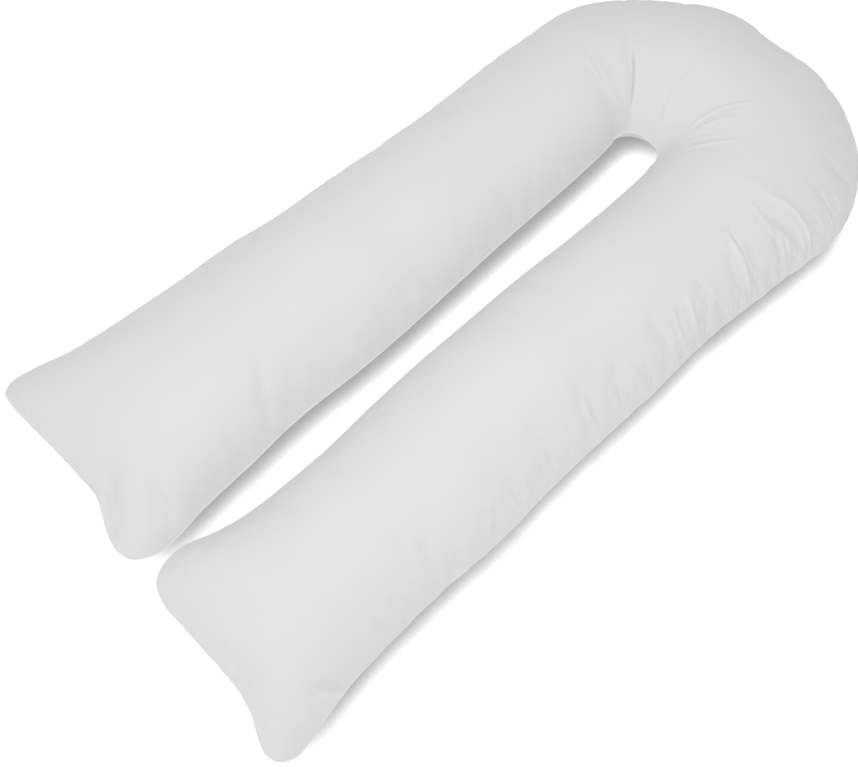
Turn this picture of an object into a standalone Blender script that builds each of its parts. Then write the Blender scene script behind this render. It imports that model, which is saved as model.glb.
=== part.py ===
"""U-shaped body pillow: two cotton panels sewn together round their edge and filled.

Metres, +Z up. The pillow lies on the floor (z = 0) with its bend towards +Y and its two
legs towards -Y. The origin is on the floor, in the middle of the footprint. The tables
below are measured from the centre of the bend, which lies a little way up the +Y axis.
"""

import math
from collections import namedtuple

import bmesh
import bpy
from mathutils import Vector

# Sections across the pillow
SEAM_HEIGHT = 0.088      # the edge seam above the floor, along the legs and the bend
END_SEAM_HEIGHT = 0.060  # the same seam at the middle of a leg's end
SEAM_DROP_LENGTH = 0.35  # length over which the seam comes down to that end
CORNER_DROOP = 0.014     # how much lower it lies at the corners of that end
CORNER_LENGTH = 0.12     # length over which they droop
FLAT_SHARE = 0.46        # half-width of the flat underside, as a share of the section's
CROWN_POWER = 2.3        # how square the top is across a section
CROWN_ROUND = 0.70       # how steeply the top meets the seam: 0.5 is upright
UNDER_POWER = 2.2        # how fast the underside curls up from the floor to the seam
END_TAPER = 0.20         # length over which a leg thins towards its end seam
END_LIFT = 0.13          # length over which its underside leaves the floor there
BOWED_SHARE = 0.4        # part of a leg whose sections bow as its end seam does
BEND_CROWN = 0.196       # height of the top round the bend

# Round end of the slot between the legs
SLOT_X = -0.022
SLOT_Y = -0.060
SLOT_RADIUS = 0.050
SLOT_POWER = 2.7  # 2 would be a half circle; more is squarer

# Folds
FOLD_TAIL = 0.2      # how far a fold fades out past its two points, in its own lengths
CALM_SHARE = 0.25    # edge of the top panel where folds die out, in half-widths
CALM_LENGTH = 0.04   # and the same at a leg's end seam, in metres

# Number of faces along and across the panels, and how unevenly they are spread
LEG_STEPS = 66
LEG_SWING = 0.4      # finer at both ends of a leg: 0 is even
LEG_CROWDING = 1.15  # finer still at its end seam: 1 is even
BEND_STEPS = 76
TOP_STEPS = 18
TOP_CROWDING = 0.55  # finer towards the seams: 0 is even
CURL_STEPS = 4       # from the seam down to the flat underside, at each side
WELD_GAP = 1e-5      # points nearer than this are one

# One row per section of a leg. down: distance below the centre of the bend;
# outer, inner: the two seams' distances from the middle line; crown: height of the top.
LegRow = namedtuple("LegRow", "down outer inner crown")
LEFT_LEG = (
    LegRow(0.00, 0.388, 0.078, 0.196),
    LegRow(0.12, 0.393, 0.062, 0.192),
    LegRow(0.28, 0.388, 0.053, 0.190),
    LegRow(0.43, 0.391, 0.047, 0.193),
    LegRow(0.58, 0.399, 0.037, 0.190),
    LegRow(0.70, 0.401, 0.030, 0.192),
    LegRow(0.80, 0.412, 0.027, 0.189),
    LegRow(0.95, 0.414, 0.029, 0.192),
    LegRow(1.08, 0.425, 0.019, 0.188),
    LegRow(1.18, 0.442, 0.017, 0.182),
    LegRow(1.25, 0.468, 0.010, 0.176),
    LegRow(1.29, 0.477, 0.012, 0.172),
    LegRow(1.314, 0.465, 0.022, 0.170),
    LegRow(1.335, 0.440, 0.036, 0.170),
)
RIGHT_LEG = (
    LegRow(0.00, 0.395, 0.024, 0.196),
    LegRow(0.12, 0.384, 0.035, 0.190),
    LegRow(0.30, 0.374, 0.038, 0.193),
    LegRow(0.45, 0.380, 0.034, 0.189),
    LegRow(0.60, 0.380, 0.036, 0.192),
    LegRow(0.73, 0.383, 0.038, 0.188),
    LegRow(0.86, 0.391, 0.046, 0.190),
    LegRow(0.98, 0.387, 0.055, 0.186),
    LegRow(1.12, 0.391, 0.051, 0.184),
    LegRow(1.20, 0.395, 0.034, 0.180),
    LegRow(1.26, 0.405, 0.010, 0.176),
    LegRow(1.306, 0.414, 0.010, 0.172),
    LegRow(1.330, 0.418, 0.024, 0.170),
    LegRow(1.345, 0.418, 0.034, 0.170),
    LegRow(1.370, 0.406, 0.050, 0.170),
)

# One row per point of a leg's end seam. across: -1 at its outer corner, 1 at its inner one.
EndRow = namedtuple("EndRow", "across down")
LEFT_END = (
    EndRow(-1.0, 1.313),
    EndRow(-0.85, 1.317),
    EndRow(-0.5, 1.315),
    EndRow(0.2, 1.309),
    EndRow(0.43, 1.313),
    EndRow(0.6, 1.331),
    EndRow(0.75, 1.343),
    EndRow(0.9, 1.346),
    EndRow(1.0, 1.336),
)
RIGHT_END = (
    EndRow(-1.0, 1.370),
    EndRow(-0.9, 1.379),
    EndRow(-0.8, 1.377),
    EndRow(-0.65, 1.364),
    EndRow(-0.5, 1.352),
    EndRow(-0.3, 1.345),
    EndRow(0.3, 1.345),
    EndRow(0.7, 1.346),
    EndRow(0.88, 1.341),
    EndRow(1.0, 1.330),
)

# One row per direction round the outside of the bend, from the right leg to the left one.
BendRow = namedtuple("BendRow", "degrees radius")
BEND = (
    BendRow(0, 0.395),
    BendRow(13, 0.405),
    BendRow(30, 0.407),
    BendRow(50, 0.406),
    BendRow(70, 0.395),
    BendRow(88, 0.376),
    BendRow(102, 0.388),
    BendRow(112, 0.390),
    BendRow(125, 0.380),
    BendRow(140, 0.381),
    BendRow(160, 0.393),
    BendRow(180, 0.388),
)

# One row per main fold of the top panel, from (x0, y0) to (x1, y1). bow: how far its
# middle lies off the straight line; width: half-width of the fold; rise: height of a
# ridge, or depth of a trough if it is negative.
Fold = namedtuple("Fold", "x0 y0 x1 y1 bow width rise")
FOLDS = (
    # the fan that gathers at the round end of the slot
    Fold(-0.200, 0.130, -0.072, -0.012, 0.006, 0.010, -0.0065),
    Fold(-0.182, 0.076, -0.126, 0.030, 0.000, 0.010, -0.0025),
    Fold(-0.219, -0.014, -0.090, -0.024, 0.000, 0.009, 0.0025),
    Fold(-0.017, 0.017, -0.037, 0.120, 0.000, 0.010, 0.0025),
    Fold(0.046, 0.000, 0.104, 0.132, 0.012, 0.010, 0.0040),
    Fold(0.066, -0.029, 0.116, 0.032, 0.006, 0.010, 0.0030),
    Fold(0.080, -0.036, 0.141, -0.008, 0.000, 0.010, 0.0022),
    # the cluster where the outer seam turns from the right leg into the bend
    Fold(0.336, 0.084, 0.384, 0.089, 0.000, 0.012, -0.0040),
    Fold(0.232, -0.030, 0.381, 0.002, -0.014, 0.010, 0.0050),
    Fold(0.309, -0.050, 0.373, -0.014, 0.000, 0.012, -0.0070),
    Fold(0.315, -0.066, 0.368, -0.060, 0.000, 0.010, -0.0040),
    Fold(0.268, -0.088, 0.326, -0.076, 0.000, 0.010, 0.0030),
    Fold(0.252, -0.133, 0.306, -0.129, 0.000, 0.010, -0.0030),
    Fold(0.271, -0.146, 0.372, -0.160, -0.006, 0.011, 0.0050),
    Fold(0.281, -0.243, 0.323, -0.246, 0.000, 0.010, 0.0025),
    Fold(0.292, -0.280, 0.365, -0.306, -0.004, 0.011, 0.0050),
    Fold(0.284, -0.350, 0.346, -0.345, 0.000, 0.012, 0.0030),
    # tucks down the outer seam of the right leg
    Fold(0.301, -0.572, 0.368, -0.589, 0.000, 0.014, -0.0050),
    Fold(0.308, -0.704, 0.374, -0.690, 0.000, 0.014, -0.0040),
    Fold(0.345, -0.802, 0.382, -0.773, 0.000, 0.014, -0.0040),
    Fold(0.345, -0.986, 0.385, -0.978, 0.000, 0.014, -0.0030),
    # the ends of the legs: their corners, and the hollow beside the left one's inner corner
    Fold(0.372, -1.262, 0.402, -1.222, 0.000, 0.020, -0.0090),
    Fold(0.222, -1.322, 0.306, -1.334, 0.000, 0.012, -0.0035),
    Fold(0.020, -1.284, 0.080, -1.292, 0.000, 0.012, -0.0040),
    Fold(-0.231, -1.233, -0.020, -1.246, 0.000, 0.032, -0.0090),
    Fold(-0.092, -1.232, -0.024, -1.240, 0.000, 0.011, -0.0040),
    Fold(-0.142, -0.944, -0.040, -1.010, 0.000, 0.012, -0.0020),
)

# A slice across the pillow. outer, inner: its two seam points; to_end: how far it is
# from the leg's end seam; end: that seam's table; share: how much the slice bows like it.
Slice = namedtuple("Slice", "outer inner crown to_end end share")


def smooth_at(rows, key, value, where):
    """Column value of a table at key = where, on a smooth curve through its rows."""
    keys = [getattr(row, key) for row in rows]
    values = [getattr(row, value) for row in rows]
    last = len(keys) - 1
    i = max(0, min(last - 1, sum(k <= where for k in keys) - 1))
    span = keys[i + 1] - keys[i]
    t = max(0.0, min(1.0, (where - keys[i]) / span))

    def slope(j):
        before, after = max(0, j - 1), min(last, j + 1)
        return (values[after] - values[before]) / (keys[after] - keys[before]) * span

    return (
        values[i] * (1 + 2 * t) * (1 - t) ** 2
        + slope(i) * t * (1 - t) ** 2
        + values[i + 1] * t * t * (3 - 2 * t)
        - slope(i + 1) * t * t * (1 - t)
    )


def ease(share):
    """0 to 1 with a soft start and a soft stop."""
    share = max(0.0, min(1.0, share))
    return share * share * (3 - 2 * share)


def leg_slice(leg, end, side, share):
    """Slice of a leg. side: -1 left, 1 right; share: 0 at the bend, 1 at the end seam."""
    outer_down = share * end[0].down
    inner_down = -SLOT_Y + share * (end[-1].down + SLOT_Y)
    return Slice(
        outer=Vector((side * smooth_at(leg, "down", "outer", outer_down), -outer_down)),
        inner=Vector((side * smooth_at(leg, "down", "inner", inner_down), -inner_down)),
        crown=smooth_at(leg, "down", "crown", outer_down),
        to_end=(1 - share) * end[0].down,
        end=end,
        share=ease(1 - (1 - share) / BOWED_SHARE),
    )


def bend_slice(degrees):
    turn = math.radians(degrees)
    direction = Vector((math.cos(turn), math.sin(turn)))
    squared = abs(direction.x) ** SLOT_POWER + abs(direction.y) ** SLOT_POWER
    slot_reach = SLOT_RADIUS / squared ** (1 / SLOT_POWER)
    return Slice(
        outer=direction * smooth_at(BEND, "degrees", "radius", degrees),
        inner=Vector((SLOT_X, SLOT_Y)) + direction * slot_reach,
        crown=BEND_CROWN,
        to_end=LEFT_END[0].down,
        end=None,
        share=0.0,
    )


def leg_shares():
    """Places along a leg, closer together near the bend and closest at the end seam."""
    steps = [i / LEG_STEPS for i in range(1, LEG_STEPS + 1)]
    swing = LEG_SWING / (2 * math.pi)
    spread = [step - swing * math.sin(2 * math.pi * step) for step in steps]
    return [1 - max(0.0, 1 - place) ** LEG_CROWDING for place in spread]


def slices():
    """Every slice, from the end of the left leg round the bend to the end of the right."""
    shares = leg_shares()
    left = [leg_slice(LEFT_LEG, LEFT_END, -1, share) for share in reversed(shares)]
    bend = [bend_slice(180 - 180 * i / BEND_STEPS) for i in range(BEND_STEPS + 1)]
    right = [leg_slice(RIGHT_LEG, RIGHT_END, 1, share) for share in shares]
    return left + bend + right


def plan_point(cut, across):
    """Where a slice is in plan, across running from -1 at the outer seam to 1 at the inner."""
    point = cut.outer.lerp(cut.inner, (across + 1) / 2)
    if cut.end:
        straight = cut.end[0].down + (cut.end[-1].down - cut.end[0].down) * (across + 1) / 2
        bow = smooth_at(cut.end, "across", "down", across) - straight
        point.y -= bow * cut.share
    return point


def seam_height(cut, across):
    near = 1 - ease(cut.to_end / SEAM_DROP_LENGTH)
    corner = CORNER_DROOP * abs(across) ** 4 * ease(1 - cut.to_end / CORNER_LENGTH)
    return SEAM_HEIGHT + (END_SEAM_HEIGHT - SEAM_HEIGHT) * near - corner


def fold_rise(point):
    """How much the folds raise the top panel at a point of the plan."""
    rise = 0.0
    for fold in FOLDS:
        start, run = Vector((fold.x0, fold.y0)), Vector((fold.x1 - fold.x0, fold.y1 - fold.y0))
        along = (point - start).dot(run) / run.length_squared
        if not -FOLD_TAIL < along < 1 + FOLD_TAIL:
            continue
        off = (point - start).cross(run) / run.length - fold.bow * 4 * along * (1 - along)
        started = ease((along + FOLD_TAIL) / (2 * FOLD_TAIL))
        fade = started * ease((1 + FOLD_TAIL - along) / (2 * FOLD_TAIL))
        rise += fold.rise * fade * math.exp(-((off / fold.width) ** 2))
    return rise


def top_height(cut, across):
    seam = seam_height(cut, across)
    to_seam = max(0.0, 1 - cut.to_end / END_TAPER)
    fill = (1 - abs(across) ** CROWN_POWER) * (1 - to_seam ** CROWN_POWER)
    calm = ease((1 - abs(across)) / CALM_SHARE) * ease(cut.to_end / CALM_LENGTH)
    rise = fold_rise(plan_point(cut, across)) * calm
    return seam + (cut.crown - seam) * max(0.0, fill) ** CROWN_ROUND + rise


def under_height(cut, across):
    curl = max(0.0, (abs(across) - FLAT_SHARE) / (1 - FLAT_SHARE))
    lift = max(0.0, 1 - cut.to_end / END_LIFT)
    on_floor = (1 - curl ** UNDER_POWER) * (1 - lift ** UNDER_POWER)
    return seam_height(cut, across) * (1 - on_floor)


def top_spread():
    """Places across the top panel, closer together towards the two seams."""
    steps = [2 * i / TOP_STEPS - 1 for i in range(TOP_STEPS + 1)]
    return [
        (1 - TOP_CROWDING) * step + TOP_CROWDING * math.sin(step * math.pi / 2)
        for step in steps
    ]


def under_spread():
    """Places across the underside: its curled edges, with one flat face between them."""
    curl = [1 - (1 - FLAT_SHARE) * i / CURL_STEPS for i in range(CURL_STEPS + 1)]
    return [-place for place in curl] + curl[::-1]


def add_panel(mesh, cuts, spread, height):
    """Adds one panel as a grid, shaped slice by slice, and returns the edges of its two ends."""
    grid = bmesh.ops.create_grid(
        mesh, x_segments=len(cuts) - 1, y_segments=len(spread) - 1, size=1.0
    )["verts"]
    rows = [set() for _ in cuts]
    for vertex in grid:
        row = round((vertex.co.x + 1) / 2 * (len(cuts) - 1))
        across = spread[round((vertex.co.y + 1) / 2 * (len(spread) - 1))]
        plan = plan_point(cuts[row], across)
        vertex.co = (plan.x, plan.y, height(cuts[row], across))
        rows[row].add(vertex)
    return [
        {edge for vertex in row for edge in vertex.link_edges if edge.other_vert(vertex) in row}
        for row in (rows[0], rows[-1])
    ]


def centre_on_floor(mesh):
    """Moves the mesh so that the origin is under the middle of its footprint."""
    places = [vertex.co for vertex in mesh.verts]
    low, high = (Vector(map(pick, zip(*places))) for pick in (min, max))
    middle = (low + high) / 2
    bmesh.ops.translate(mesh, verts=mesh.verts, vec=(-middle.x, -middle.y, -low.z))


def build_pillow():
    """One closed skin: two panels, stitched at the legs' ends and welded along the seam."""
    cuts = slices()
    mesh = bmesh.new()
    top_ends = add_panel(mesh, cuts, top_spread(), top_height)
    under_ends = add_panel(mesh, cuts[1:-1], under_spread(), under_height)
    for top_edges, under_edges in zip(top_ends, under_ends):
        bmesh.ops.bridge_loops(mesh, edges=list(top_edges | under_edges))
    bmesh.ops.remove_doubles(mesh, verts=mesh.verts, dist=WELD_GAP)
    bmesh.ops.recalc_face_normals(mesh, faces=mesh.faces)
    if mesh.calc_volume(signed=True) < 0:
        bmesh.ops.reverse_faces(mesh, faces=mesh.faces)
    centre_on_floor(mesh)
    data = bpy.data.meshes.new("pillow")
    mesh.to_mesh(data)
    mesh.free()
    data.shade_smooth()
    return bpy.data.objects.new("pillow", data)


def cotton():
    material = bpy.data.materials.new("white_cotton")
    material.use_nodes = True
    surface = material.node_tree.nodes["Principled BSDF"]
    surface.inputs["Base Color"].default_value = (0.76, 0.76, 0.76, 1.0)
    surface.inputs["Roughness"].default_value = 0.85
    surface.inputs["Metallic"].default_value = 0.0
    return material


def main():
    for old in list(bpy.data.objects):
        bpy.data.objects.remove(old, do_unlink=True)
    collection = bpy.data.collections.new("body_pillow")
    bpy.context.scene.collection.children.link(collection)
    pillow = build_pillow()
    pillow.data.materials.append(cotton())
    collection.objects.link(pillow)


main()
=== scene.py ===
import math
from collections import namedtuple

import bmesh
import bpy
import numpy as np
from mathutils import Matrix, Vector, kdtree, noise
from mathutils.bvhtree import BVHTree


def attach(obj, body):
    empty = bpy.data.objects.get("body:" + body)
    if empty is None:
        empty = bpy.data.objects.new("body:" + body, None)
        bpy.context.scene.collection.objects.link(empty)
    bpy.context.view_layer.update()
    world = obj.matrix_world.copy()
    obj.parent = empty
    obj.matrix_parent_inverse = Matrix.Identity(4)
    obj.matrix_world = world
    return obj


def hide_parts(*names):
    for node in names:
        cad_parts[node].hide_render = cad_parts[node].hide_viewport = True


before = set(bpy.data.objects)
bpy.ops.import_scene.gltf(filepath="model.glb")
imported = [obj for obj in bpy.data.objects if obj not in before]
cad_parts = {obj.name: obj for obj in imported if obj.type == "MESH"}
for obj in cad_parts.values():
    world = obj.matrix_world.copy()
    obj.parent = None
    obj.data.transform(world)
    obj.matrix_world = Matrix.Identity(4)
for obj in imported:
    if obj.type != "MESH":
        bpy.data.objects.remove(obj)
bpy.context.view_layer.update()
bpy.ops.object.select_all(action="DESELECT")

# ---------------------------------------------------------------------------
# Studio: the camera looks down on the pillow from its right-hand end, over a
# white floor that glows with painted light and has painted shadow beside the pillow,
# under three broad soft lamps.

CAMERA_AT = Vector((0.87245, -0.95207, 2.05656))
LOOKS_AT = Vector((0.07746, -0.20126, 0.0))
LENS = 50.537  # this and the sensor's width are in millimetres
SENSOR_WIDTH = 36.0

bpy.ops.object.camera_add(location=CAMERA_AT)
camera = bpy.context.object
camera.name = "camera"
camera.rotation_euler = (LOOKS_AT - CAMERA_AT).to_track_quat("-Z", "Y").to_euler()
camera.data.lens = LENS
camera.data.sensor_width = SENSOR_WIDTH
bpy.context.scene.camera = camera

bpy.ops.mesh.primitive_plane_add(size=14.0)
floor = bpy.context.object
floor.name = "floor"
floor_glow_and_painted_shadow = bpy.data.materials.new("floor_glow_and_painted_shadow")
floor_glow_and_painted_shadow.use_nodes = True
floor_surface = floor_glow_and_painted_shadow.node_tree.nodes["Principled BSDF"]
floor_surface.inputs["Roughness"].default_value = 0.9
floor_surface.inputs["Specular IOR Level"].default_value = 0.1
floor_surface.inputs["Emission Strength"].default_value = 1.67  # painted light: the floor glows, as a table lit from below would
floor_glow_and_painted_shadow.cycles.emission_sampling = "NONE"
# painted shadow: the floor's colour and glow are darker where something close by stands to its
# left and in front of it
shaded_from = floor_glow_and_painted_shadow.node_tree.nodes.new("ShaderNodeCombineXYZ")
shaded_from.inputs["X"].default_value = -0.5
shaded_from.inputs["Y"].default_value = -0.6
shaded_from.inputs["Z"].default_value = 0.6
openness = floor_glow_and_painted_shadow.node_tree.nodes.new("ShaderNodeAmbientOcclusion")
openness.samples = 8
openness.inputs["Distance"].default_value = 0.065
floor_glow_and_painted_shadow.node_tree.links.new(shaded_from.outputs["Vector"], openness.inputs["Normal"])
shade = floor_glow_and_painted_shadow.node_tree.nodes.new("ShaderNodeMapRange")
shade.inputs["From Min"].default_value = 0.46
shade.inputs["From Max"].default_value = 0.74
shade.inputs["To Min"].default_value = 0.17
shade.inputs["To Max"].default_value = 0.45
floor_glow_and_painted_shadow.node_tree.links.new(openness.outputs["AO"], shade.inputs["Value"])
# painted shadow, put into both the floor's colour and its glow
floor_glow_and_painted_shadow.node_tree.links.new(shade.outputs["Result"], floor_surface.inputs["Base Color"])
floor_glow_and_painted_shadow.node_tree.links.new(shade.outputs["Result"], floor_surface.inputs["Emission Color"])
floor.data.materials.append(floor_glow_and_painted_shadow)

world = bpy.data.worlds.new("studio_air")
bpy.context.scene.world = world
world.use_nodes = True
world.node_tree.nodes["Background"].inputs["Color"].default_value = (1.0, 1.0, 1.0, 1.0)
world.node_tree.nodes["Background"].inputs["Strength"].default_value = 0.53
bpy.context.scene.view_settings.view_transform = "Standard"


def softbox(name, place, size, power):
    """A square area light, in metres and watts, aimed at the middle of the pillow."""
    bpy.ops.object.light_add(type="AREA", location=place)
    lamp = bpy.context.object
    lamp.name = name
    lamp.data.size = size
    lamp.data.energy = power
    lamp.rotation_euler = (-Vector(place)).to_track_quat("-Z", "Y").to_euler()
    lamp.visible_camera = False


softbox("overhead", (0.0, -0.1, 2.8), 1.6, 21.0)
softbox("beside_camera", (0.9, -0.65, 2.55), 1.6, 14.5)
softbox("low_front", (0.0, -2.63, 0.96), 1.6, 6.0)

# ---------------------------------------------------------------------------
# Pillow: two U-shaped panels of white cotton, sewn together all round their
# edge and stuffed. The seam holds its line and the spare cloth gathers beside
# it in puckers, while the filling pushes the panels out between the seams.

BEND_AT = Vector((0.0290285, 0.4994057, 0.0))  # the tables start from the bend's centre
WELD_GAP = 1e-5
FLAT_BELOW = 0.004   # underside lower than this rests on the floor
SPARE_CLOTH = 0.10   # most that the cloth beside the seam is longer than its place
SPARE_REACH = 0.16   # how far from the seam the spare cloth goes
SETTLE_FRAMES = 20
MOST_SWELL = 0.014   # no point of the cloth moves further than about this

GATHER_BLEND = 0.06  # how softly one row of GATHERS gives way to the next

# Where along the seam how much spare cloth is gathered, as a share of the most.
Gather = namedtuple("Gather", "x y share")
GATHERS = (
    Gather(0.38, 0.10, 0.45),
    Gather(0.38, -0.10, 0.60),
    Gather(0.38, -0.35, 0.55),
    Gather(0.38, -0.65, 0.40),
    Gather(0.39, -0.95, 0.40),
    Gather(0.40, -1.25, 0.20),
    Gather(0.22, -1.34, 0.30),
    Gather(0.03, -1.30, 0.20),
    Gather(0.04, -1.00, 0.12),
    Gather(0.04, -0.60, 0.06),
    Gather(0.04, -0.20, 0.06),
    Gather(0.02, -0.02, 0.10),
    Gather(-0.06, -0.02, 0.08),
    Gather(-0.05, -0.30, 0.10),
    Gather(-0.04, -0.60, 0.14),
    Gather(-0.03, -0.90, 0.16),
    Gather(-0.02, -1.25, 0.12),
    Gather(-0.22, -1.32, 0.20),
    Gather(-0.45, -1.28, 0.12),
    Gather(-0.41, -0.80, 0.15),
    Gather(-0.39, -0.30, 0.15),
    Gather(-0.36, 0.15, 0.15),
    Gather(-0.10, 0.37, 0.20),
    Gather(0.20, 0.35, 0.35),
)

# Main folds of the top panel, where the camera sees them: one end, a point near the middle
# and the other end, x to the right and y down in a view VIEW_WIDTH by VIEW_HEIGHT. width:
# half-width; rise: a ridge's height, or less than zero for a trough; both in metres.
VIEW_WIDTH = 858
VIEW_HEIGHT = 767
SeenFold = namedtuple("SeenFold", "x0 y0 x_mid y_mid x1 y1 width rise")
SEEN_FOLDS = (
    # the fan that gathers at the round end of the slot
    SeenFold(633, 54, 633.5, 78, 632, 104, 0.0022, -0.0055),
    SeenFold(628, 30, 627, 50, 630, 70, 0.0080, -0.0012),
    SeenFold(634, 30, 633, 42, 632.5, 54, 0.0060, 0.0010),
    SeenFold(584, 48, 600, 73, 608, 92, 0.0050, -0.0010),
    SeenFold(591, 64, 606, 86, 622, 107, 0.0050, 0.0009),
    SeenFold(664, 118, 667, 104, 673, 92, 0.0050, 0.0012),
    SeenFold(679, 94, 686, 84, 695, 73, 0.0050, -0.0014),
    SeenFold(680, 85, 687, 76, 693, 66, 0.0050, 0.0010),
    SeenFold(690, 127, 711, 113, 751, 103.5, 0.0050, 0.0019),
    SeenFold(698, 124, 712, 116, 730, 113, 0.0040, -0.0014),
    SeenFold(700, 127, 712, 122, 738, 118.5, 0.0040, 0.0012),
    SeenFold(679, 151, 700, 145, 735, 141, 0.0050, 0.0016),
    SeenFold(690, 141, 703, 137, 722, 136, 0.0040, 0.0010),
    SeenFold(684, 146, 700, 141, 714, 138.5, 0.0040, -0.0010),
    # the cluster where the outer seam turns from the right leg into the bend
    SeenFold(824, 193, 830, 205, 841, 221, 0.0040, 0.0020),
    SeenFold(829, 202, 834, 211, 839, 219, 0.0040, -0.0020),
    SeenFold(832, 212.9, 835, 222, 838, 228, 0.0040, -0.0022),
    SeenFold(829, 214, 832, 223, 835, 231, 0.0040, 0.0016),
    SeenFold(836, 196, 840, 206, 842, 214, 0.0040, 0.0016),
    SeenFold(811, 214, 816, 219, 820, 225, 0.0050, -0.0016),
    SeenFold(765, 195, 797, 214, 812, 247, 0.0060, 0.0030),
    SeenFold(777, 203, 797, 218, 807, 240, 0.0050, -0.0022),
    SeenFold(770, 220, 786, 229, 801, 245, 0.0060, -0.0034),
    SeenFold(771, 226, 782, 235, 796, 250, 0.0060, 0.0016),
    SeenFold(774, 237, 779, 247, 783, 256, 0.0050, -0.0022),
    SeenFold(780, 237, 783, 247, 785, 256, 0.0040, 0.0016),
    SeenFold(784, 243, 787, 250, 788, 258, 0.0040, -0.0020),
    SeenFold(788, 242, 790, 251, 792, 260, 0.0040, 0.0016),
    SeenFold(792, 249, 795, 255, 798, 259, 0.0040, -0.0018),
    SeenFold(747, 202, 757, 213, 775, 238, 0.0070, 0.0014),
    SeenFold(753, 231, 761, 237, 768, 241, 0.0060, -0.0014),
    # long creases up the outer flank of the right leg
    SeenFold(729, 238, 742, 259, 751, 293, 0.0050, 0.0032),
    SeenFold(727, 245, 739, 265, 749, 295, 0.0040, -0.0024),
    SeenFold(751, 281, 754, 290, 753, 297, 0.0040, -0.0024),
    SeenFold(729, 231, 735, 239, 742, 248, 0.0060, -0.0016),
    SeenFold(729, 276, 733, 285, 736, 297, 0.0040, -0.0012),
    SeenFold(696, 276, 703, 286, 711, 293, 0.0050, -0.0014),
    SeenFold(711, 288, 719, 297, 724, 305, 0.0040, 0.0014),
    SeenFold(724, 296, 728, 301, 731, 308, 0.0040, -0.0022),
    SeenFold(732, 296, 734, 302, 734, 308, 0.0035, -0.0018),
    SeenFold(688, 297, 693, 314, 699, 338, 0.0060, 0.0034),
    SeenFold(687, 309, 689, 320, 691, 332, 0.0050, -0.0022),
    SeenFold(696, 311, 700, 320, 704, 333, 0.0050, -0.0026),
    SeenFold(708, 316, 708, 322, 707, 328, 0.0035, -0.0020),
    SeenFold(672, 308, 678, 324, 684, 345, 0.0050, 0.0018),
    SeenFold(671, 320, 676, 329, 680, 341, 0.0050, -0.0020),
    SeenFold(664, 353, 667, 359, 672, 365, 0.0060, -0.0020),
    SeenFold(672, 341, 675, 353, 679, 362, 0.0060, 0.0012),
    SeenFold(628, 362, 637, 374, 647, 389, 0.0070, 0.0012),
    SeenFold(646, 362, 648, 370, 651, 380, 0.0060, -0.0014),
    SeenFold(609, 383, 615, 392, 620, 410, 0.0060, 0.0014),
    SeenFold(608, 384, 608, 393, 612, 404, 0.0060, -0.0016),
    SeenFold(584, 398, 589, 412, 597, 428, 0.0070, 0.0024),
    SeenFold(579, 404, 584, 418, 592, 430, 0.0070, -0.0030),
    SeenFold(549, 448, 555, 458, 559, 467, 0.0050, 0.0022),
    SeenFold(550, 453, 553, 464, 557, 474, 0.0060, -0.0018),
    SeenFold(535, 460, 540, 467, 546, 473, 0.0060, -0.0020),
    SeenFold(529, 472, 533, 478, 542, 486, 0.0060, -0.0016),
    SeenFold(522, 480, 523, 488, 523, 494, 0.0040, -0.0020),
    SeenFold(523, 478, 527, 486, 528, 496, 0.0040, 0.0018),
    SeenFold(508, 490, 512, 497, 517, 508, 0.0050, 0.0014),
    SeenFold(503, 492, 506, 500, 508, 510, 0.0060, -0.0014),
    SeenFold(490, 497, 490, 512, 491, 530, 0.0060, 0.0012),
    SeenFold(480, 520, 484, 532, 488, 540, 0.0050, -0.0012),
    SeenFold(455, 553, 457, 560, 460, 567, 0.0050, -0.0024),
    SeenFold(459, 553, 462, 561, 464, 568, 0.0050, 0.0018),
    SeenFold(433, 573, 437, 580, 441, 586, 0.0050, -0.0030),
    SeenFold(444, 565, 443, 573, 443, 580, 0.0040, 0.0014),
    # the lower inner corner of the left leg
    SeenFold(102, 465, 107, 495, 116, 530, 0.0300, -0.0100),
    SeenFold(137, 466, 141, 492, 147, 519, 0.0140, 0.0030),
    SeenFold(153, 483, 165, 505, 179, 525, 0.0120, -0.0020),
)

# Folds at the lower corners and the ends of the legs, from (x0, y0) to (x1, y1) in plan.
# bow: how far the middle lies off the straight line. laid_on makes such rows of the folds
# above.
Fold = namedtuple("Fold", "x0 y0 x1 y1 bow width rise")
CORNER_FOLDS = (
    Fold(0.345, -0.986, 0.385, -0.978, 0.000, 0.0080, -0.0016),
    Fold(0.372, -1.262, 0.402, -1.222, 0.000, 0.0120, -0.0050),
    Fold(0.222, -1.322, 0.306, -1.334, 0.000, 0.0080, -0.0024),
    Fold(0.020, -1.284, 0.080, -1.292, 0.000, 0.0070, -0.0026),
    Fold(-0.092, -1.232, -0.024, -1.240, 0.000, 0.0070, -0.0024),
    Fold(-0.142, -0.944, -0.040, -1.010, 0.000, 0.0090, -0.0012),
)
FOLD_TAIL = 0.2   # how far a fold fades out past its two ends, in its own lengths
FOLD_SIDES = 2.4  # how far a fold reaches to each side, in its own half-widths
FOLDS_START = 0.012  # folds fade out this near to the seam
CALM_HEIGHT = 0.02   # and all relief fades out this near to the floor
BROAD = 0.009    # folds of this half-width or more are soft, and need no finer mesh
NARROW = 0.0038  # folds of a smaller half-width than this need the finest mesh

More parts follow.
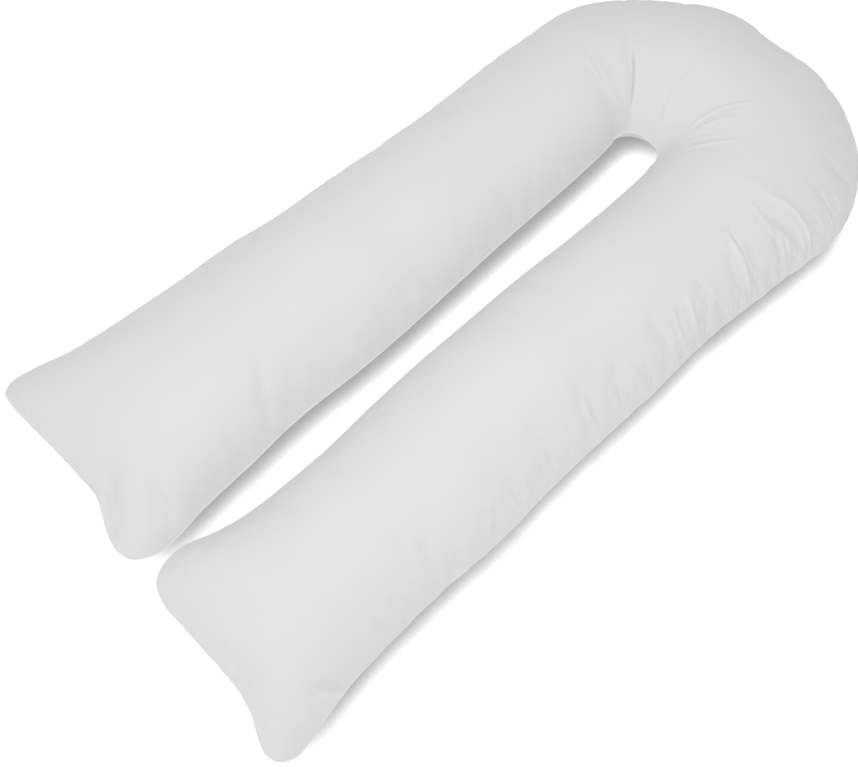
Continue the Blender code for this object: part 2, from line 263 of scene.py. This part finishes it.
PUCKER_PITCH = 0.013  # fine puckers between the main folds, square to the seam
PUCKER_LEAN = 0.3     # but leaning this much as they run in from it
PUCKER_REACH = 0.11
PUCKER_RISE = 0.0048
PUCKER_START = 0.008   # they begin softly over this distance from the seam
PUCKER_STRETCH = 0.08  # how far in one keeps its shape
PUCKER_WANDER = 0.004  # how far one strays to the side
WANDER_PITCH = 0.05
LENGTH_PITCH = 0.025   # how far along the seam they keep one length
BUNCH_PITCH = 0.07     # and come in bunches
LEAST_SPARE = 0.05     # cloth with a smaller share of spare length lies plain
SCALLOP_PITCH = 0.035  # the seam itself bows in and out where cloth is gathered
SCALLOP_RISE = 0.0045
SCALLOP_REACH = 0.03
SEAM_JOIN = 0.04  # nothing is gathered this near to where the seam's two ends meet
DIAGONAL_REACH = 0.03  # how near a corner's diagonal the puckers fade out
OWN_STRETCH = 0.7  # seam within this share of a point's distance belongs to its own stretch
COARSE = 4         # every fourth seam point is enough to find the other stretches
PARTS = 60         # points are compared in so many lots, to spare memory
LIP_WIDTH = 0.0012   # of each side of the narrow ridge that the sewn edge stands out as
LIP_RISE = 0.0015
TIP_GAP = LIP_WIDTH / 4  # a point this near to an old seam point is the ridge there
UNDERSIDE_FROM = 0.03  # the smooth underside begins this far in from the seam
UNDERSIDE_SAVING = 0.7  # share of its faces that it can do without


def laid_on(skin, seen):
    """That fold in plan, to the millimetre, with its points where they are seen on the skin."""
    turn = (LOOKS_AT - CAMERA_AT).to_track_quat("-Z", "Y")
    depth = LENS / SENSOR_WIDTH * VIEW_WIDTH
    spots = []
    for x, y in ((seen.x0, seen.y0), (seen.x_mid, seen.y_mid), (seen.x1, seen.y1)):
        ray = turn @ Vector((x - VIEW_WIDTH / 2, VIEW_HEIGHT / 2 - y, -depth))
        spots.append((skin.ray_cast(CAMERA_AT, ray.normalized())[0] - BEND_AT).xy)
    start, middle, end = spots
    run = end - start
    share = (middle - start).dot(run) / run.length_squared
    bow = (middle - start).cross(run) / run.length / (4 * share * (1 - share))
    plan = [round(value, 3) for value in (*start, *end, bow)]
    return Fold(*plan, seen.width, seen.rise)


def ease(share):
    """0 to 1 with a soft start and a soft stop, for an array or one number."""
    share = np.clip(share, 0.0, 1.0)
    return share * share * (3 - 2 * share)


def places(mesh, what="co"):
    """Positions or normals of a mesh's points, as an array."""
    values = np.empty(len(mesh.vertices) * 3)
    mesh.vertices.foreach_get(what, values)
    return values.reshape(-1, 3)


def put(mesh, points):
    mesh.vertices.foreach_set("co", points.ravel())
    mesh.update()


def sewn_skin(node):
    """A welded copy of the solid's skin, in quads, with its edge seam marked as a crease."""
    skin = bmesh.new()
    skin.from_mesh(node.data)
    bmesh.ops.remove_doubles(skin, verts=skin.verts, dist=WELD_GAP)
    bmesh.ops.join_triangles(
        skin,
        faces=skin.faces,
        angle_face_threshold=math.radians(60),
        angle_shape_threshold=math.radians(70),
    )
    crease = skin.edges.layers.float.new("crease_edge")
    for edge in skin.edges:
        above = [face.normal.z > 0 for face in edge.link_faces]
        edge.seam = above[0] != above[-1]
        edge[crease] = float(edge.seam)
    data = bpy.data.meshes.new("pillow_cover")
    skin.to_mesh(data)
    skin.free()
    cover = bpy.data.objects.new("pillow_cover", data)
    bpy.context.scene.collection.objects.link(cover)
    bpy.context.view_layer.objects.active = cover
    cover.select_set(True)
    return cover


def lay_out_panels(cover):
    """Unwraps the two panels at the seam into a map in metres, for the weave."""
    sheet = cover.data.uv_layers.new(name="panels")
    bpy.ops.object.mode_set(mode="EDIT")
    bpy.ops.mesh.select_all(action="SELECT")
    bpy.ops.uv.unwrap(method="ANGLE_BASED", margin=0.01)
    bpy.ops.object.mode_set(mode="OBJECT")
    flat = np.empty(len(sheet.data) * 2)
    sheet.data.foreach_get("uv", flat)
    flat = flat.reshape(-1, 2)
    points = places(cover.data)
    areas, spread = 0.0, 0.0
    for face in cover.data.polygons:
        corners = flat[face.loop_start : face.loop_start + face.loop_total]
        x, y = (corners - corners[0]).T
        spread += abs((x * np.roll(y, -1) - y * np.roll(x, -1)).sum()) / 2
        areas += face.area
    sheet.data.foreach_set("uv", (flat * math.sqrt(areas / spread)).ravel())


def refine(cover):
    """Splits every face in four, on a smooth surface through them."""
    finer = cover.modifiers.new("finer", "SUBSURF")
    finer.levels = finer.render_levels = 1
    bpy.ops.object.modifier_apply(modifier=finer.name)


def seam_round(mesh):
    """Numbers of the points on the seam, anticlockwise round from the leftmost one."""
    beside = {}
    for edge in mesh.edges:
        if edge.use_seam:
            first, last = edge.vertices
            beside.setdefault(first, []).append(last)
            beside.setdefault(last, []).append(first)
    chain = [min(beside)]
    chain.append(beside[chain[0]][0])
    while len(chain) < len(beside):
        near, far = beside[chain[-1]]
        chain.append(far if near == chain[-2] else near)
    x, y, _ = places(mesh)[chain].T
    if (x * np.roll(y, -1) - y * np.roll(x, -1)).sum() < 0:
        chain, x = chain[::-1], x[::-1]
    return np.roll(chain, -int(np.argmin(x)))


def seam_map(points, seam):
    """How far along the seam each point lies and how far in from it, in metres, and
    how clearly that stretch of seam is the nearest: 0 on a corner's diagonal."""
    stations = points[seam]
    steps = np.roll(stations, -1, axis=0) - np.roll(stations, 1, axis=0)
    ahead = steps / np.linalg.norm(steps, axis=1)[:, None]
    gaps = np.linalg.norm(np.roll(stations, -1, axis=0) - stations, axis=1)
    run = np.concatenate(([0.0], np.cumsum(gaps)[:-1]))
    tree = kdtree.KDTree(len(stations))
    for i, station in enumerate(stations):
        tree.insert(station, i)
    tree.balance()
    nearest = np.array([tree.find(point)[1] for point in points])
    away = points - stations[nearest]
    slip = (away * ahead[nearest]).sum(1)
    inward = np.linalg.norm(away - ahead[nearest] * slip[:, None], axis=1)
    along = run[nearest] + slip
    clear = np.zeros(len(points))
    for part in np.array_split(np.arange(len(points)), PARTS):
        reach = np.linalg.norm(points[part, None] - stations[::COARSE], axis=2)
        apart = abs(along[part, None] - run[::COARSE])
        apart = np.minimum(apart, gaps.sum() - apart)
        reach[apart < OWN_STRETCH * inward[part, None] + DIAGONAL_REACH] = np.inf
        # 0 up to a quarter of that reach from the diagonal, 1 from nearly all of it on
        clear[part] = ease(1.4 * (reach.min(1) - inward[part]) / DIAGONAL_REACH - 0.35)
    return along, inward, clear


def gathered(points):
    """Share of the spare cloth at each point, blended from the nearest rows of GATHERS."""
    total, weights = np.zeros(len(points)), np.zeros(len(points))
    for gather in GATHERS:
        away = points[:, :2] - (BEND_AT.x + gather.x, BEND_AT.y + gather.y)
        weight = 1 / ((away**2).sum(1) + GATHER_BLEND**2) ** 2
        total += weight * gather.share
        weights += weight
    return total / weights


def weigh(cover, name, shares):
    group = cover.vertex_groups.new(name=name)
    for i, share in enumerate(shares):
        group.add([i], float(share), "REPLACE")
    return name


def beside_fold(points, fold):
    """In plan: how strong the fold is beside each point, and how far off it is in half-widths."""
    run = np.array((fold.x1 - fold.x0, fold.y1 - fold.y0))
    length = np.hypot(*run)
    away = points[:, :2] - (BEND_AT.x + fold.x0, BEND_AT.y + fold.y0)
    along = away @ run / length**2
    off = (away[:, 0] * run[1] - away[:, 1] * run[0]) / length
    fade = ease((along + FOLD_TAIL) / (2 * FOLD_TAIL))
    fade *= ease((1 + FOLD_TAIL - along) / (2 * FOLD_TAIL))
    return fade, (off - fold.bow * 4 * along * (1 - along)) / fold.width


def fold_rise(points):
    """How much the folds raise each point. A narrow trough comes to a sharp line, and all
    other folds are round, with a slight dip or swell to each side."""
    rise = np.zeros(len(points))
    for fold in folds:
        fade, off = beside_fold(points, fold)
        ridge = (1 - 0.8 * off**2) * np.exp(-(off**2) / 1.3)
        sharp = fold.rise < 0 and fold.width < BROAD
        rise += fold.rise * fade * (np.exp(-1.4 * abs(off)) if sharp else ridge)
    return rise


def pucker_rise(along, inward, spare):
    """How much the fine puckers raise each point, from its place on the seam's map."""
    rise = np.zeros(len(along))
    for i in np.flatnonzero((inward < PUCKER_REACH) & (spare > LEAST_SPARE)):
        line = along[i] - PUCKER_LEAN * inward[i]
        line += PUCKER_WANDER * noise.noise((line / WANDER_PITCH, inward[i] / WANDER_PITCH, 3.0))
        length = PUCKER_REACH * (0.35 + 0.9 * abs(noise.noise((line / LENGTH_PITCH, 0.0, 7.0))))
        bunch = ease(0.5 + 1.6 * noise.noise((line / BUNCH_PITCH, 0.0, 11.0)))
        crease = noise.noise((line / PUCKER_PITCH, inward[i] / PUCKER_STRETCH, 0.0))
        crease = 2 * abs(crease) - 0.4
        fade = ease(inward[i] / PUCKER_START) * (1 - ease(inward[i] / length))
        rise[i] = PUCKER_RISE * spare[i] * bunch * fade * crease
    return rise


def scallop_rise(along, inward, spare):
    """How much the seam and the cloth next to it bow out or in."""
    rise = np.zeros(len(along))
    for i in np.flatnonzero(inward < SCALLOP_REACH):
        wave = noise.noise((along[i] / SCALLOP_PITCH, 0.0, 17.0))
        rise[i] = SCALLOP_RISE * spare[i] * wave * (1 - ease(inward[i] / SCALLOP_REACH))
    return rise


def fill(cover):
    """Lets the cloth settle over the filling, held by its seam and by the floor."""
    mesh = cover.data
    start = places(mesh)
    seam = seam_round(mesh)
    far = seam_map(start, seam)[1]
    held = (start[:, 2] < FLAT_BELOW).astype(float)
    held[seam] = 1.0
    spare = gathered(start) * (1 - ease(far / SPARE_REACH))
    cloth = cover.modifiers.new("filling", "CLOTH")
    cloth.settings.vertex_group_mass = weigh(cover, "held", held)
    cloth.settings.vertex_group_shrink = weigh(cover, "taut", 1 - spare)
    cloth.settings.shrink_min = -SPARE_CLOTH
    cloth.settings.shrink_max = 0.0
    cloth.settings.quality = 5
    cloth.settings.mass = 0.3
    cloth.settings.use_pressure = True
    cloth.settings.uniform_pressure_force = 4.0
    cloth.settings.effector_weights.gravity = 0.0
    cloth.settings.tension_stiffness = 15.0
    cloth.settings.compression_stiffness = 15.0
    cloth.settings.shear_stiffness = 5.0
    cloth.settings.bending_stiffness = 0.05
    cloth.collision_settings.use_collision = False
    cloth.point_cache.frame_start = 1
    cloth.point_cache.frame_end = SETTLE_FRAMES
    for number in range(1, SETTLE_FRAMES + 1):
        bpy.context.scene.frame_set(number)
    bpy.ops.object.modifier_apply(modifier=cloth.name)
    cover.vertex_groups.clear()
    moved = places(mesh) - start
    far_moved = np.maximum(np.linalg.norm(moved, axis=1), 1e-9)
    capped = MOST_SWELL * np.tanh(far_moved / MOST_SWELL)
    settled = start + moved * (capped / far_moved)[:, None]
    settled[:, 2] = np.maximum(settled[:, 2], 0.0)
    put(mesh, settled)


def thin_out_underside(cover):
    """Fewer, larger faces on the smooth underside."""
    points = places(cover.data)
    inward = seam_map(points, seam_round(cover.data))[1]
    under = (places(cover.data, "normal")[:, 2] < 0) & (inward > UNDERSIDE_FROM)
    thinner = cover.modifiers.new("thinner", "DECIMATE")
    thinner.vertex_group = weigh(cover, "under", under)
    thinner.ratio = 1 - UNDERSIDE_SAVING * under.mean()
    bpy.ops.object.modifier_apply(modifier=thinner.name)
    cover.vertex_groups.clear()


def split_beside(cover, narrower):
    """Splits the faces beside the narrower folds once more, so that they come out crisp."""
    points = places(cover.data)
    close = np.zeros(len(points), bool)
    for fold in folds:
        fade, off = beside_fold(points, fold)
        close |= (fade > 0) & (abs(off) < FOLD_SIDES) & (fold.width < narrower)
    close &= places(cover.data, "normal")[:, 2] > 0
    skin = bmesh.new()
    skin.from_mesh(cover.data)
    skin.verts.ensure_lookup_table()
    edges = [edge for edge in skin.edges if all(close[end.index] for end in edge.verts)]
    bmesh.ops.subdivide_edges(skin, edges=edges, cuts=1, use_grid_fill=True, smooth=1.0)
    skin.to_mesh(cover.data)
    skin.free()


def raise_lip(cover):
    """The sewn edge, pushed out into a narrow ridge all round."""
    skin = bmesh.new()
    skin.from_mesh(cover.data)
    edges = [edge for edge in skin.edges if edge.seam]
    skin.normal_update()
    corners = {corner for edge in edges for corner in edge.verts}
    outward = [corner.normal.copy() for corner in corners]
    tips = kdtree.KDTree(len(corners))
    for i, corner in enumerate(corners):
        tips.insert(corner.co, i)
    tips.balance()
    bmesh.ops.bevel(
        skin,
        geom=edges,
        offset=LIP_WIDTH,
        segments=2,
        profile=1.0,
        affect="EDGES",
    )
    for point in skin.verts:
        _, nearest, gap = tips.find(point.co)
        if gap < TIP_GAP:
            point.co += outward[nearest] * LIP_RISE
            for face in point.link_faces:
                face.smooth = False
    skin.to_mesh(cover.data)
    skin.free()


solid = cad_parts["pillow"]
corners = [corner.co for corner in solid.data.vertices]
skin = BVHTree.FromPolygons(corners, [face.vertices[:] for face in solid.data.polygons])
folds = [laid_on(skin, seen) for seen in SEEN_FOLDS]
folds.extend(CORNER_FOLDS)
cover = sewn_skin(solid)
lay_out_panels(cover)
refine(cover)
fill(cover)
refine(cover)
thin_out_underside(cover)
split_beside(cover, BROAD)
split_beside(cover, NARROW)
points = places(cover.data)
normals = places(cover.data, "normal")
along, inward, clear = seam_map(points, seam_round(cover.data))
spare = gathered(points) * clear * ease(np.minimum(along, along.max() - along) / SEAM_JOIN)
rise = fold_rise(points) * ease(inward / FOLDS_START) * (normals[:, 2] > 0)
rise += pucker_rise(along, inward, spare) + scallop_rise(along, inward, spare)
points += normals * (rise * ease(points[:, 2] / CALM_HEIGHT))[:, None]
points[:, 2] -= points[:, 2].min()
put(cover.data, points)
beside_seam = cover.data.attributes.new("beside_seam", "FLOAT_VECTOR", "POINT")
beside_seam.data.foreach_set("vector", np.column_stack((along, inward, spare)).ravel())
cover.data.shade_smooth()
raise_lip(cover)

cotton = bpy.data.materials.new("white_cotton_cloth")
cotton.use_nodes = True
nodes, links = cotton.node_tree.nodes, cotton.node_tree.links
surface = nodes["Principled BSDF"]
surface.inputs["Roughness"].default_value = 0.85
surface.inputs["Specular IOR Level"].default_value = 0.3
surface.inputs["Sheen Weight"].default_value = 0.15
surface.inputs["Sheen Roughness"].default_value = 0.5

THREAD_PITCH = 0.0006
WEAVE_RISE = 0.00012     # of a raised thread crossing, before the two waves are multiplied
STREAK_PITCH = 0.008     # creases too fine for the mesh, square to the seam
STREAK_LENGTH = 0.07
STREAK_RISE = 0.0050
STREAK_START = 0.002     # they begin here, measured in from the seam
STREAK_FULL = 0.015
STREAK_FADE = 0.04
CRUMPLE_RISE = 0.0006    # broad unevenness of the filling under the cloth
WAVE_PERIOD = 2 * math.pi / 20  # of the wave texture at a scale of 1


def reckon(operation, first, second):
    """The result of a math node on two outputs or plain numbers."""
    node = nodes.new("ShaderNodeMath")
    node.operation = operation
    for socket, value in zip(node.inputs, (first, second)):
        if isinstance(value, (int, float)):
            socket.default_value = value
        else:
            links.new(value, socket)
    return node.outputs["Value"]


def ramp(value, start, end):
    """0 to 1 with a soft start and stop while the value goes from start to end."""
    node = nodes.new("ShaderNodeMapRange")
    node.interpolation_type = "SMOOTHSTEP"
    node.inputs["From Min"].default_value = start
    node.inputs["From Max"].default_value = end
    links.new(value, node.inputs["Value"])
    return node.outputs["Result"]


def cloudy(vector, scale, detail):
    """A noise texture's value, read at that vector."""
    node = nodes.new("ShaderNodeTexNoise")
    node.inputs["Scale"].default_value = scale
    node.inputs["Detail"].default_value = detail
    links.new(vector, node.inputs["Vector"])
    return node.outputs["Fac"]


panels = nodes.new("ShaderNodeUVMap")
panels.uv_map = "panels"
threads = []
for direction in ("X", "Y"):
    thread = nodes.new("ShaderNodeTexWave")
    thread.bands_direction = direction
    thread.inputs["Scale"].default_value = WAVE_PERIOD / (2 * THREAD_PITCH)
    thread.inputs["Distortion"].default_value = 0.6
    thread.inputs["Detail Scale"].default_value = 0.2
    links.new(panels.outputs["UV"], thread.inputs["Vector"])
    threads.append(reckon("SUBTRACT", thread.outputs["Fac"], 0.5))
weave = reckon("MULTIPLY", reckon("MULTIPLY", *threads), WEAVE_RISE)

beside = nodes.new("ShaderNodeAttribute")
beside.attribute_name = "beside_seam"
seam_axes = nodes.new("ShaderNodeSeparateXYZ")
links.new(beside.outputs["Vector"], seam_axes.inputs["Vector"])
lean = reckon("MULTIPLY", seam_axes.outputs["Y"], -PUCKER_LEAN)
stretched = nodes.new("ShaderNodeCombineXYZ")
links.new(
    reckon("DIVIDE", reckon("ADD", seam_axes.outputs["X"], lean), STREAK_PITCH),
    stretched.inputs["X"],
)
links.new(reckon("DIVIDE", seam_axes.outputs["Y"], STREAK_LENGTH), stretched.inputs["Y"])
swing = reckon("SUBTRACT", cloudy(stretched.outputs["Vector"], 1.0, 1.0), 0.5)
streak = reckon("ABSOLUTE", swing, 0.0)
near_seam = reckon(
    "SUBTRACT",
    ramp(seam_axes.outputs["Y"], STREAK_START, STREAK_FULL),
    ramp(seam_axes.outputs["Y"], STREAK_FADE, PUCKER_REACH),
)
streak = reckon("MULTIPLY", reckon("MULTIPLY", streak, near_seam), seam_axes.outputs["Z"])
streaks = reckon("MULTIPLY", streak, STREAK_RISE)

where = nodes.new("ShaderNodeTexCoord")
crumple = reckon("MULTIPLY", cloudy(where.outputs["Object"], 16.0, 3.0), CRUMPLE_RISE)
relief = nodes.new("ShaderNodeBump")
relief.inputs["Distance"].default_value = 1.0
links.new(reckon("ADD", reckon("ADD", weave, streaks), crumple), relief.inputs["Height"])
links.new(relief.outputs["Normal"], surface.inputs["Normal"])

tone = nodes.new("ShaderNodeMix")
tone.data_type = "RGBA"
tone.inputs["A"].default_value = (0.745, 0.745, 0.745, 1.0)
tone.inputs["B"].default_value = (0.775, 0.775, 0.77, 1.0)
links.new(cloudy(where.outputs["Object"], 7.0, 4.0), tone.inputs["Factor"])
links.new(tone.outputs["Result"], surface.inputs["Base Color"])
cover.data.materials.clear()
cover.data.materials.append(cotton)

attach(cover, "root")
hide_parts("pillow")
